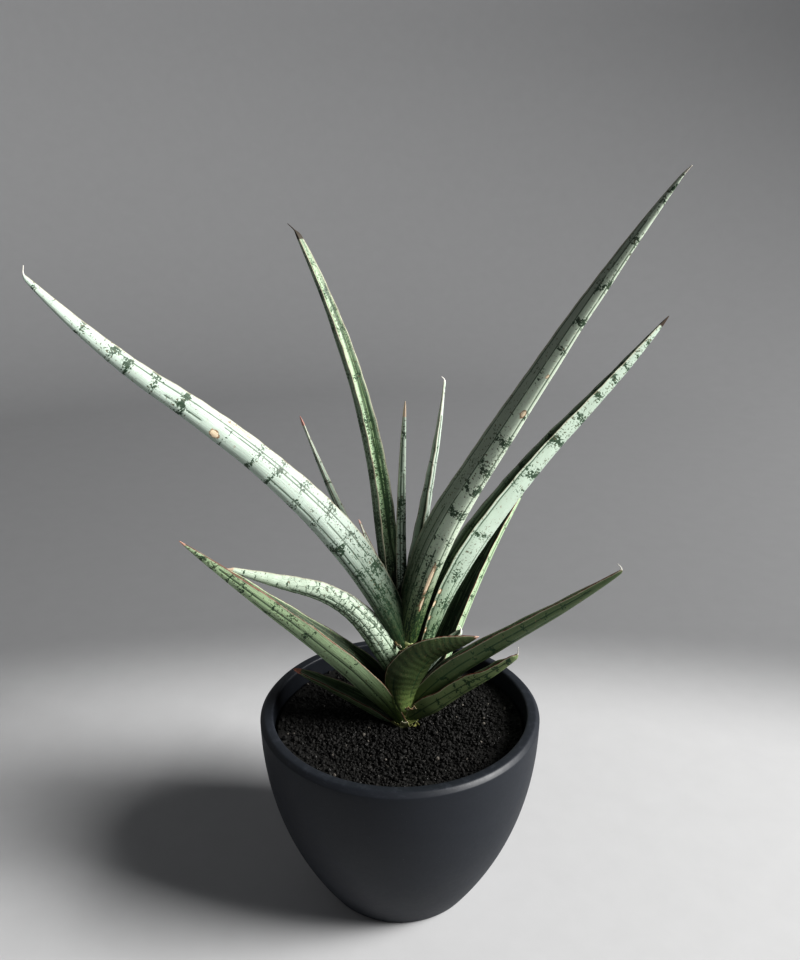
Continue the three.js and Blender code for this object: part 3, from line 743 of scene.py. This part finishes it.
def leaf_sizes(shape, distances):
    """Half width, depth and the channel's depth at each distance from the root."""
    s = distances / shape["length"]
    tip = np.clip((distances - (shape["length"] - shape["awl"])) / shape["awl"], 0, 1)
    least = AWL_RADIUS * (1 - 0.72 * tip ** 1.3)
    foot = smooth(-distances, 0, FOOT)
    half = shape["width"] / 2 * fullness(shape, s, shape["root"][0])
    depth = shape["depth"] * fullness(shape, s, shape["root"][1])
    if shape["curl"] < 0 or shape["thread"]:
        thread = smooth(tip, 0.05, 0.5)
        least = AWL_RADIUS * (0.95 - 0.4 * thread - 0.35 * tip)
        half = half + (least - half) * thread
        depth = depth + (2 * least - depth) * thread
    half = np.maximum(half, least) * (1 - 0.5 * foot)
    depth = np.maximum(depth, 2 * least) * (1 - 0.3 * foot)
    trough = shape["channel"] * depth * (1 - np.clip(s, 0, 1) ** 3) * (1 - 0.8 * foot)
    return half[:, None], depth[:, None], trough[:, None]


def eased(share):
    """Numbers from -1 to 1, moved so that they stand closer together near both ends."""
    return 0.5 * share + 0.5 * np.sin(math.pi / 2 * share)


def section_points(half, depth, trough):
    """Across and depth of every column of each ring, and the angles round the outer side."""
    turn = math.pi / 2 * eased(np.linspace(-1, 1, OUTER))
    across = eased(1 - 2 * (np.arange(INNER) + 1) / (INNER + 1))
    reach = np.abs(across)
    at_lip = 1 - (LIP / TROUGH_EDGE) ** TROUGH_ROUND
    share = np.where(
        reach < LIP, 1 - (reach / TROUGH_EDGE) ** TROUGH_ROUND, at_lip * (1 - reach) / (1 - LIP))
    x = np.hstack([half * np.sin(turn), half * across])
    z = np.hstack([depth / 2 - depth * np.cos(turn), depth / 2 - trough * share])
    return x, z, turn


def near_marks(shape, s, x, z, turn):
    """How far each point of a ring is, along its skin, from the next dark line and the margins."""
    steps = np.hypot(np.diff(x, axis=1, append=x[:, :1]), np.diff(z, axis=1, append=z[:, :1]))
    walked = np.hstack([np.zeros((len(s), 1)), np.cumsum(steps, axis=1)])
    around = walked[:, -1:]
    walked = walked[:, :-1]
    far_margin = walked[:, OUTER - 1:OUTER]
    margin = np.minimum(np.minimum(walked, around - walked), np.abs(walked - far_margin))
    groove = np.full_like(walked, NO_GROOVE)
    for angle, first, last in shape["lines"]:
        column = int(np.argmin(np.abs(np.degrees(turn) - angle)))
        past = np.maximum(first - s, s - last)[:, None] * shape["length"]
        near = np.abs(walked - walked[:, column:column + 1]) + np.maximum(0, past)
        groove = np.minimum(groove, near)
    return groove, margin


def leaf_sections(shape, distances, seed):
    """Across and depth of every column at every distance, and how near lines and margins are."""
    half, depth, trough = leaf_sizes(shape, distances)
    x, z, turn = section_points(half, depth, trough)
    groove, margin = near_marks(shape, distances / shape["length"], x, z, turn)

    # Relief, along each point's own way out of the section.
    nx = np.concatenate([np.sin(turn), np.zeros(INNER)])
    nz = np.concatenate([-np.cos(turn), np.ones(INNER)])
    body = smooth(half, 0.8, 3.5)
    flat = np.stack([x, np.broadcast_to(distances[:, None], x.shape), z], -1).reshape(-1, 3)
    relief = RIPPLE * wobble(flat * (1, 0.28, 1), 9.0, seed).reshape(x.shape) * body
    relief -= GROOVE * body * np.exp(-(groove / 0.5) ** 2)
    relief += RAISED_MARGIN * body * np.exp(-(margin / 0.5) ** 2)
    if shape["ribs"]:
        warp = 0.9 * wobble(flat * (1, 0.3, 1), 8.0, seed + 5).reshape(x.shape)
        phase = 2 * math.pi * (distances[:, None] + warp) / shape["spacing"]
        relief += RIB * shape["ribs"] * body * np.sin(phase)
    relief *= smooth(margin, -1.0, 0.1)
    height, length = shape["wave"]
    phase = 2 * math.pi * (distances[:, None] + np.where(x < 0, 0.4 * length, 0)) / length
    wavy = np.sin(phase) + 0.25 * np.sin(phase / 0.43)
    frilled = height * wavy * np.exp(-(margin / 2.2) ** 2) * body
    return x + nx * relief, z + nz * relief + frilled, groove, margin


def band_likelihood(shape, flat, groove, seed):
    """How likely each point is dark, from the cross bands, and how near the next band is."""
    draw = np.random.default_rng(seed)
    length = shape["length"]
    bands = list(shape["bands"])
    if not bands:
        at = draw.uniform(0.3, 0.8) * shape["spacing"]
        while at < length - shape["awl"]:
            bands.append((at, draw.uniform(0.5, 1.5), draw.uniform(0.45, 0.95)))
            at += shape["spacing"] * draw.uniform(0.6, 1.45)
    along = flat[:, 1] + (1 - 0.6 * shape["net"]) * 1.5 * wobble(
        flat * (1, 0.5, 1), 7.0, seed + 1)
    spread = 1 + 0.6 * (1 - shape["net"]) * np.exp(-(groove / 1.1) ** 2)
    likely = np.zeros(len(flat))
    halo = np.zeros(len(flat))
    for number, (at, wide, strong) in enumerate(bands):
        gaps = 0.85 + 0.35 * wobble(flat[:, [0, 2]], 6.0, seed + 20 + number)
        gone = np.abs(along - at) / wide
        likely = np.maximum(likely, strong * gaps * np.exp(-(gone / spread) ** 2))
        halo = np.maximum(halo, strong * gaps * np.exp(-(gone / 2.6) ** 2))
    return likely, halo


def make_leaf(shape, blank, rings, number):
    """Copies a blank and gives it one leaf's form, with the attributes that its skin reads."""
    seed = 100 + 37 * number
    made = blank.copy()
    made.data = blank.data.copy()
    bpy.context.collection.objects.link(made)
    points = points_of(made)
    ring = np.rint((points[:, 2] + 0.5) * (rings - 1)).astype(int)
    column = np.rint(np.arctan2(points[:, 0], points[:, 1]) / (2 * math.pi) * COLUMNS).astype(int)
    column %= COLUMNS
    at_middle = np.hypot(points[:, 0], points[:, 1]) < 0.5

    blade = shape["length"] - shape["awl"]
    distances = np.concatenate([
        np.linspace(-FOOT, 0, FOOT_RINGS, endpoint=False),
        np.linspace(0, blade, rings - FOOT_RINGS - AWL_RINGS, endpoint=False),
        np.linspace(blade, shape["length"], AWL_RINGS)])
    across, depth, groove, margin = leaf_sections(shape, distances, seed)
    spine = leaf_spine(shape, distances)
    along, sideways, upper = leaf_frames(shape, distances)
    places = spine[:, None] + across[..., None] * sideways[:, None]
    places = places + depth[..., None] * upper[:, None]
    placed = np.where(at_middle[:, None], places.mean(axis=1)[ring], places[ring, column])
    put_points(made, placed * MM)

    flat = np.stack([across[ring, column], distances[ring], depth[ring, column]], 1)
    flat[at_middle, 0] = 0
    margin = np.where(at_middle, 0.0, margin[ring, column])
    paint_leaf(made, shape, number, seed, flat, groove[ring, column], margin, column >= OUTER)
    outwards(made)
    return made


def paint_leaf(made, shape, number, seed, flat, groove, margin, inner):
    """Writes what the skin reads at each point, from its (across, along, depth) in millimetres."""
    s = np.clip(flat[:, 1] / shape["length"], 0, 1)
    half = shape["width"] / 2 * np.maximum(fullness(shape, s, shape["root"][0]), 0.05)
    deep = shape["depth"] * np.maximum(fullness(shape, s, shape["root"][1]), 0.05)
    turn = np.degrees(np.arctan2(flat[:, 0] / half, 0.5 - flat[:, 2] / deep))
    likely, halo = band_likelihood(shape, flat, groove, seed)
    # Bands fade where the outer flank has painted shade.
    likely *= 1 - 0.7 * smooth(turn, shape["plain_from"] - 6, shape["plain_from"] + 6)
    reach, dense = shape["mottled"]
    near_base = 1 - smooth(flat[:, 1], 0.25 * reach, 1.15 * reach)
    patches = wobble(flat * (1, 0.35, 1), 14, seed + 9)
    mottle = dense * near_base * (0.85 + 0.3 * patches)
    specks = np.clip(shape["speckle"] + 0.25 * patches + 0.35 * halo, 0, 1.2)
    net = shape["net"] * smooth(s, 0.0, 0.06) * (1 - smooth(s, 0.5, 0.85))
    scar = np.zeros(len(s))
    for at, angle, size in shape["scars"]:
        scar = np.maximum(scar, scar_share(shape, flat, inner, at, angle, size))
    ground = ground_colour(shape, s, flat[:, 0] / half, turn, margin, inner)
    even = np.ones(len(s))
    write(
        made,
        place=flat + (0.0, 400.0 * (number + 1), 0.0),
        lines=np.stack([groove, margin, shape["length"] - flat[:, 1] - shape["dry_length"]], 1),
        marks=np.stack([likely, mottle, specks], 1),
        kinds=np.stack([inner * shape["stripes"], net, shape["edge"] * even], 1),
        scar=scar,
        ground=np.column_stack([ground, even]),
        dry=np.column_stack([np.tile(srgb(*shape["dry"]), (len(s), 1)), even]))


def ground_colour(shape, s, across, turn, margin, inner):
    """The skin's colour at each point, with painted shade on a shaded flank, in the far part of
    some channels and on some bases. across is a share of the leaf's half width.
    """
    skin, base, hollow = (np.array(srgb(*shape[key])) for key in ("skin", "base", "hollow"))
    # Darker base colours hold painted shade on some leaves as well as their own colour.
    outside = base + (skin - base) * smooth(s, 0.02, 0.3)[:, None]
    # Painted shade: the far part of the channel takes a darker colour.
    if shape["far_hollow"]:
        far = smooth(across, shape["far_from"] - 0.15, shape["far_from"] + 0.15)
        hollow = hollow + (np.array(srgb(*shape["far_hollow"])) - hollow) * far[:, None]
    # Painted shade: the outer flank past this angle is darkened.
    plain = 0.48 * smooth(turn, shape["plain_from"] - 3, shape["plain_from"] + 5)
    outside = outside * (1 - plain)[:, None]
    colour = np.where(inner[:, None], hollow, outside)
    return colour + (outside - colour) * np.exp(-(margin / shape["lip"]) ** 2)[:, None]


def scar_share(shape, flat, inner, at, angle, size):
    """1 at a scar's middle and 0 at its rim. The angle is as seen round the outer side."""
    s = np.array([at / shape["length"]])
    half = shape["width"] / 2 * fullness(shape, s, 0.8)[0]
    depth = shape["depth"] * fullness(shape, s, 0.6)[0]
    turn = math.radians(angle)
    middle = np.array([half * math.sin(turn), at, depth / 2 - depth * math.cos(turn)])
    long, wide = size
    gone = np.linalg.norm((flat - middle) / (wide, long, wide), axis=1)
    return np.clip(1 - gone, 0, 1) * ~inner


# Pieces, one operator for each group.


def length_setting(name, description, default):
    """A length that a user can change."""
    return FloatProperty(
        name=name, description=description, subtype="DISTANCE", unit="LENGTH", default=default)


def colour_setting(name, description, red, green, blue):
    """A colour that a user can change, given as a screen shows it."""
    return FloatVectorProperty(
        name=name, description=description, subtype="COLOR", size=3, min=0, max=1,
        default=srgb(red, green, blue))


class PotSettings(bpy.types.PropertyGroup):
    """Sizes and colour of the pot."""

    height: length_setting("Height", "Height of the pot", POT_TOP)
    rim_radius: length_setting("Rim radius", "Outer radius of the rim", 0.065)
    foot_radius: length_setting("Foot radius", "Radius of the flat foot", 0.036)
    wall: length_setting("Wall", "Thickness of the wall", 0.006)
    floor: length_setting("Floor", "Thickness of the floor", 0.007)
    colour: colour_setting("Colour", "Matte body colour", 43, 47, 54)


class SoilSettings(bpy.types.PropertyGroup):
    """The soil's surface and its loose grains."""

    radius: length_setting("Radius", "Radius of the soil's surface", 0.0576)
    grains: IntProperty(
        name="Grains", description="Number of fine loose grains", default=9000, min=100)
    grain_size: length_setting("Grain size", "Typical width of a grain", 0.0013)


class LeafSettings(bpy.types.PropertyGroup):
    """Colours that all leaves share."""

    band: colour_setting("Band", "Dark green of the cross bands", 62, 92, 66)
    band_deep: colour_setting("Band, deep", "Darkest green of the cross bands", 26, 50, 32)
    stripe: colour_setting("Stripe", "Pale lengthwise stripes in the channels", 176, 196, 160)
    margin_red: colour_setting("Margin", "Red-brown line along the margins", 112, 58, 46)
    margin_pale: colour_setting("Margin, pale", "Pale strip beside the margins", 206, 204, 184)
    scar_rim: colour_setting("Scar rim", "Brown rim of a healed scar", 160, 134, 108)
    scar_heart: colour_setting("Scar", "Corky middle of a healed scar", 246, 228, 200)


class StageSettings(bpy.types.PropertyGroup):
    """Floor, lights and camera."""

    floor_colour: colour_setting("Floor", "Pale floor round the pot", 198, 199, 201)
    wall_colour: colour_setting("Surround", "Soft grey further away", 140, 141, 143)
    pale_within: length_setting("Pale within", "The floor stays pale within this distance", 0.13)
    grey_from: length_setting("Grey from", "The surround is grey from this distance", 0.26)
    key_power: FloatProperty(
        name="Key light", description="Power of the large soft light at the right",
        subtype="POWER", unit="POWER", default=138.0)
    sky: FloatProperty(
        name="Ambient", description="Strength of the even light from all round", default=0.016)
    lens: FloatProperty(
        name="Lens", description="Focal length in millimetres", default=36.97)


def pot_profile(pot):
    """(radius, height) pairs up the outside, over the rim and down the inside."""
    height, rim, foot = pot.height / MM, pot.rim_radius / MM, pot.foot_radius / MM
    wall, floor = pot.wall / MM, pot.floor / MM

    def side(level):
        return rim - (rim - foot) * (1 - level / height) ** POT_BELLY

    profile = [(foot - 6.0, 0.45), (foot - 5.2, 0.12), (foot - 4.4, 0.0), (foot - 1.2, 0.0)]
    profile += [(foot - 0.55, 0.1), (foot - 0.1, 0.38), (side(0.9), 0.9)]
    shoulder = height - 2.4
    profile += [(side(z), z) for z in np.linspace(2.5, shoulder, 34)]
    profile += [
        (rim - 0.05, height - 2.15), (rim - 0.25, height - 1.85), (rim - 1.25, height - 0.62),
        (rim - 1.6, height - 0.28), (rim - 2.0, height - 0.08), (rim - 2.5, height)]
    inner = rim - wall
    profile += [
        (inner + 1.1, height), (inner + 0.55, height - 0.1), (inner + 0.18, height - 0.4),
        (inner, height - 0.9)]
    profile += [(side(z) - wall, z) for z in np.linspace(height - 2.0, floor + 4, 26)]
    profile += [(side(floor + 1) - wall - 1.0, floor + 1.2), (side(floor) - wall - 3, floor)]
    profile += [(8.0, floor)]
    return profile


class PLANT_OT_pot(bpy.types.Operator):
    """Turn the rounded pot with its bevelled rim."""

    bl_idname = "plant.pot"
    bl_label = "Pot"

    def execute(self, context):
        pot = context.scene.plant_pot
        made = turned(pot_profile(pot), 176)
        settle(made, "pot_body", pot_stoneware(pot), "pot", "pot")
        return {"FINISHED"}


def soil_height(x, y):
    """Height of the soil in millimetres at places in millimetres: a low mound with clods."""
    away = np.hypot(x, y) / 58.0
    places = np.stack([x, y], -1)
    clods = 0.28 * wobble(places, 13.0, 7) + 0.22 * wobble(places, 4.6, 8)
    return SOIL_LEVEL - SOIL_FALL * away ** 2 + clods * (1 - 0.5 * away ** 2)


class PLANT_OT_soil(bpy.types.Operator):
    """Make the soil's body and strew it with loose grains."""

    bl_idname = "plant.soil"
    bl_label = "Soil"

    def execute(self, context):
        soil = context.scene.plant_soil
        self.bed(soil)
        self.grains(soil)
        return {"FINISHED"}

    def bed(self, soil):
        """The soil's body, with a rough top."""
        edge = soil.radius / MM
        foot, bottom = 28.6, 7.3
        profile = [(20.0, bottom), (foot, bottom)]
        profile += [(foot + (edge - foot) * (1 - (1 - t) ** POT_BELLY), 8 + 74 * t)
                    for t in np.linspace(0, 1, 12)]
        profile += [(r, SOIL_LEVEL - 1.0) for r in np.linspace(edge - 0.2, 1.0, 96)]
        made = turned(profile, 168)
        points = points_of(made) / MM
        top = points[:, 2] > SOIL_LEVEL - 1.5
        places = points[top, :2]
        crumbs = 0.3 * wobble(places, 1.4, 3) + 0.18 * wobble(places, 0.8, 4)
        points[top, 2] = soil_height(places[:, 0], places[:, 1]) + crumbs - 0.35
        put_points(made, points * MM)
        settle(made, "soil_bed", soil_grit("soil_bed", False), "soil", "soil")

    def crumb(self, seed):
        """The corners of one rough grain, 1 across, and the numbers of its faces' corners."""
        made = added(bpy.ops.mesh.primitive_ico_sphere_add, subdivisions=1, radius=0.5)
        with editing():
            bpy.ops.mesh.select_all(action="SELECT")
            bpy.ops.transform.vertex_random(offset=0.12, seed=seed)
        points = points_of(made)
        corners = np.array([tuple(face.vertices) for face in made.data.polygons])
        bpy.data.objects.remove(made)
        return points, corners

    def grains(self, soil):
        """Loose grains, spread evenly in a spiral and then pushed about, turned and sized."""
        seed = 11
        count = soil.grains
        draw = np.random.default_rng(seed)
        crumb, corners = self.crumb(seed)
        edge = soil.radius / MM - 0.6
        radius = edge * np.sqrt((np.arange(count) + 0.5) / count)
        angle = np.arange(count) * math.pi * (3 - math.sqrt(5))
        x = radius * np.cos(angle) + draw.normal(0, 0.35, count)
        y = radius * np.sin(angle) + draw.normal(0, 0.35, count)
        held = np.minimum(1, edge / np.maximum(np.hypot(x, y), 1e-6))
        x, y = x * held, y * held
        width = soil.grain_size / MM * draw.lognormal(0, 0.32, count).clip(0.45, 2.2)
        z = soil_height(x, y) + draw.uniform(-0.25, 0.35, count) * width
        turns = random_turns(draw, count)
        scales = draw.uniform(0.7, 1.15, (count, 3)) * width[:, None]
        stretched = crumb[None] * scales[:, None]
        placed = np.einsum("nij,nvj->nvi", turns, stretched) + np.stack([x, y, z], 1)[:, None]
        faces = corners[None] + (np.arange(count) * len(crumb))[:, None, None]
        name = "soil_grains_fine"
        mesh = bpy.data.meshes.new(name)
        mesh.from_pydata(placed.reshape(-1, 3) * MM, [], faces.reshape(-1, 3).tolist())
        made = bpy.data.objects.new(name, mesh)
        bpy.context.collection.objects.link(made)
        tone = draw.beta(1.2, 2.6, count) + (draw.random(count) > 0.985) * 0.6
        write(made, tone=np.repeat(tone, len(crumb)).clip(0, 1))
        settle(made, name, soil_grit(name, True), "soil")


def random_turns(draw, count):
    """Random rotation matrices."""
    w, x, y, z = draw.normal(size=(4, count))
    size = np.sqrt(w * w + x * x + y * y + z * z)
    w, x, y, z = w / size, x / size, y / size, z / size
    rows = [
        1 - 2 * (y * y + z * z), 2 * (x * y - z * w), 2 * (x * z + y * w),
        2 * (x * y + z * w), 1 - 2 * (x * x + z * z), 2 * (y * z - x * w),
        2 * (x * z - y * w), 2 * (y * z + x * w), 1 - 2 * (x * x + y * y)]
    return np.stack(rows, 1).reshape(count, 3, 3)


class PLANT_OT_stem(bpy.types.Operator):
    """Turn the short stem with the ring scars of its old leaves."""

    bl_idname = "plant.stem"
    bl_label = "Stem"

    def execute(self, context):
        rings = 22
        first = SOIL_LEVEL - 12
        reach = STEM_TOP - 3 - first
        step = reach / rings
        profile = [(4.2, STEM_BOTTOM), (5.0, STEM_BOTTOM + 0.8)]
        for number in range(rings):
            share = number / rings
            level = first + share * reach
            radius = 6.0 - 1.6 * share
            profile += [
                (radius - 0.35, level), (radius - 0.2, level + step * 0.35),
                (radius + 0.05, level + step * 0.7), (radius + 0.12, level + step * 0.82)]
        profile += [(3.6, STEM_TOP - 1.6), (2.6, STEM_TOP - 0.5), (1.2, STEM_TOP)]
        made = turned(profile, 72, STEM_X, STEM_Y)
        points = points_of(made) / MM
        lumps = 0.25 * wobble(points, 5.0, 21) + 0.12 * wobble(points, 1.8, 22)
        away = points - (STEM_X, STEM_Y, 0)
        away[:, 2] = 0
        size = np.maximum(np.linalg.norm(away, axis=1, keepdims=True), 1e-6)
        points += away / size * (lumps * smooth(size[:, 0], 0.5, 2.5))[:, None]
        put_points(made, points * MM)
        settle(made, "stem_core", stem_skin(), "stem", "stem")
        return {"FINISHED"}


# Torn strips of dry skin round the stem: name, the height of their middle above the soil, radius,
# first and last angle, height and flare, in millimetres and degrees.
SHEATHS = (
    ("sheath_crown_front", 40.5, 6.6, 236, 306, 5.2, 1.5),
    ("sheath_crown_left", 43.5, 6.4, 212, 250, 3.6, 0.8),
    ("sheath_crown_back", 38.0, 6.0, 40, 150, 5.0, 1.2),
    ("sheath_front", 11.8, 8.6, 246, 300, 2.8, 1.0),
    ("sheath_base_front", 2.2, 7.6, 205, 318, 4.4, 1.2),
    ("sheath_base_right", 9.5, 7.4, 300, 352, 2.6, 0.9),
    ("sheath_base_back", 4.5, 6.9, 60, 185, 5.5, 1.0),
    ("sheath_back", 22.0, 6.2, 20, 120, 4.0, 0.8),
)


class PLANT_OT_sheaths(bpy.types.Operator):
    """Wrap the torn dry skin of old leaves round the stem."""

    bl_idname = "plant.sheaths"
    bl_label = "Dry sheaths"

    def execute(self, context):
        dry = papery()
        for number, sheath in enumerate(SHEATHS):
            self.strip(dry, 300 + 11 * number, *sheath)
        return {"FINISHED"}

    def strip(self, dry, seed, name, level, radius, first, last, height, flare):
        """One strip, as a thin sheet that follows the stem and is torn along its upper edge."""
        made = added(
            bpy.ops.mesh.primitive_grid_add, x_subdivisions=48, y_subdivisions=7, size=1)
        grid = points_of(made) + 0.5
        angle = first + (last - first) * grid[:, 0]
        around = np.stack([radius * np.radians(angle), 0 * angle], 1)
        torn = 0.7 + 0.28 * wobble(around, 2.4, seed) + 0.16 * wobble(around, 0.8, seed + 1)
        ends = smooth(grid[:, 0], 0, 0.16) * smooth(1 - grid[:, 0], 0, 0.16)
        rise = height * grid[:, 1] * np.clip(torn, 0.25, 1.2) * (0.25 + 0.75 * ends)
        folded = np.stack([around[:, 0], rise], 1)
        out = radius + flare * grid[:, 1] ** 1.6 + 0.22 * wobble(folded, 2.2, seed + 2)
        turn = np.radians(angle)
        points = np.stack([
            STEM_X + out * np.cos(turn), STEM_Y + out * np.sin(turn),
            SOIL_LEVEL + level - height / 2 + rise], 1)
        put_points(made, points * MM)
        take(made)
        bpy.ops.object.modifier_add(type="SOLIDIFY")
        made.modifiers["Solidify"].thickness = 0.22 * MM
        made.modifiers["Solidify"].offset = 0
        bpy.ops.object.modifier_apply(modifier="Solidify")
        outwards(made)
        settle(made, name, dry, "stem")


class PLANT_OT_leaves(bpy.types.Operator):
    """Shape the sixteen leaves."""

    bl_idname = "plant.leaves"
    bl_label = "Leaves"

    def execute(self, context):
        leaves = context.scene.plant_leaves
        keys = LeafSettings.__annotations__
        skin = leaf_skin({key: tuple(getattr(leaves, key)) for key in keys})
        blanks = {rings: leaf_blank(rings) for _, rings in RINGS}
        for number, shape in enumerate(LEAVES):
            rings = next(count for limit, count in RINGS if shape["length"] < limit)
            made = make_leaf(shape, blanks[rings], rings, number)
            slot = "shaded_leaf" if shape["name"] in SHADED_LEAVES else "leaf"
            settle(made, shape["name"] + "_blade", skin, slot, shape["name"])
        for blank in blanks.values():
            bpy.data.objects.remove(blank)
        return {"FINISHED"}


class PLANT_OT_stage(bpy.types.Operator):
    """Lay the floor, hang the light and set the camera."""

    bl_idname = "plant.stage"
    bl_label = "Stage"

    def execute(self, context):
        stage = context.scene.plant_stage
        self.floor(stage)
        self.light(stage)
        self.camera(stage)
        view = context.scene.view_settings
        view.view_transform = "Standard"
        view.look = "High Contrast"
        return {"FINISHED"}

    def floor(self, stage):
        """A flat floor that curves up into a round wall, far from the pot."""
        level_within, bend, top = 900.0, 500.0, 1700.0
        profile = [
            (level_within + bend * math.sin(a), bend - bend * math.cos(a))
            for a in np.linspace(0, math.pi / 2, 14)]
        made = turned([*profile, (level_within + bend, top)], 128, closed=False)
        made.name = "studio_floor"
        made.data.materials.append(stage_paint(stage))
        made.visible_shadow = False

    def light(self, stage):
        """One large soft light at the right, and a faint even light from all round."""
        world = bpy.data.worlds.new("studio_air")
        world.use_nodes = True
        air = world.node_tree.nodes["Background"].inputs
        air["Color"].default_value = (0.93, 0.96, 1.0, 1)
        air["Strength"].default_value = stage.sky
        bpy.context.scene.world = world
        place = Vector((2.44, -0.61, 1.85))
        target = Vector((0, 0, 0.15))
        made = added(bpy.ops.object.light_add, type="AREA", location=place)
        made.name = "key_light"
        made.data.shape = "SQUARE"
        made.data.size = 1.4
        made.data.energy = stage.key_power
        made.data.color = (1.0, 0.985, 0.96)
        made.rotation_euler = (target - place).to_track_quat("-Z", "Y").to_euler()
        made.visible_camera = False

    def camera(self, stage):
        """The photograph's view: in front of the pot and a little above it, tilted down."""
        made = added(
            bpy.ops.object.camera_add, location=(0, -0.3967, 0.3544),
            rotation=(math.radians(69.7), 0, 0))
        made.name = "camera"
        made.data.sensor_width = 36
        made.data.lens = stage.lens
        made.data.clip_start = 0.01
        made.data.clip_end = 20
        bpy.context.scene.camera = made


class PLANT_PT_panel(bpy.types.Panel):
    """Lists the pieces in the sidebar."""

    bl_label = "Potted snake plant"
    bl_space_type = "VIEW_3D"
    bl_region_type = "UI"
    bl_category = "Plant"

    def draw(self, context):
        for operator, group in STEPS:
            box = self.layout.box()
            box.operator(operator.bl_idname)
            if group:
                settings = getattr(context.scene, group)
                for key in settings.__annotations__:
                    box.prop(settings, key)


STEPS = (
    (PLANT_OT_stage, "plant_stage"),
    (PLANT_OT_pot, "plant_pot"),
    (PLANT_OT_soil, "plant_soil"),
    (PLANT_OT_stem, None),
    (PLANT_OT_sheaths, None),
    (PLANT_OT_leaves, "plant_leaves"),
)
GROUPS = {
    "plant_stage": StageSettings,
    "plant_pot": PotSettings,
    "plant_soil": SoilSettings,
    "plant_leaves": LeafSettings,
}
CLASSES = (*GROUPS.values(), *(operator for operator, _ in STEPS), PLANT_PT_panel)


def register():
    for cls in CLASSES:
        bpy.utils.register_class(cls)
    for name, group in GROUPS.items():
        setattr(bpy.types.Scene, name, PointerProperty(type=group))


def unregister():
    for name in GROUPS:
        delattr(bpy.types.Scene, name)
    for cls in reversed(CLASSES):
        bpy.utils.unregister_class(cls)


def main():
    register()
    for operator, _ in STEPS:
        section, step = operator.bl_idname.split(".")
        getattr(getattr(bpy.ops, section), step)()


if __name__ == "__main__":
    main()
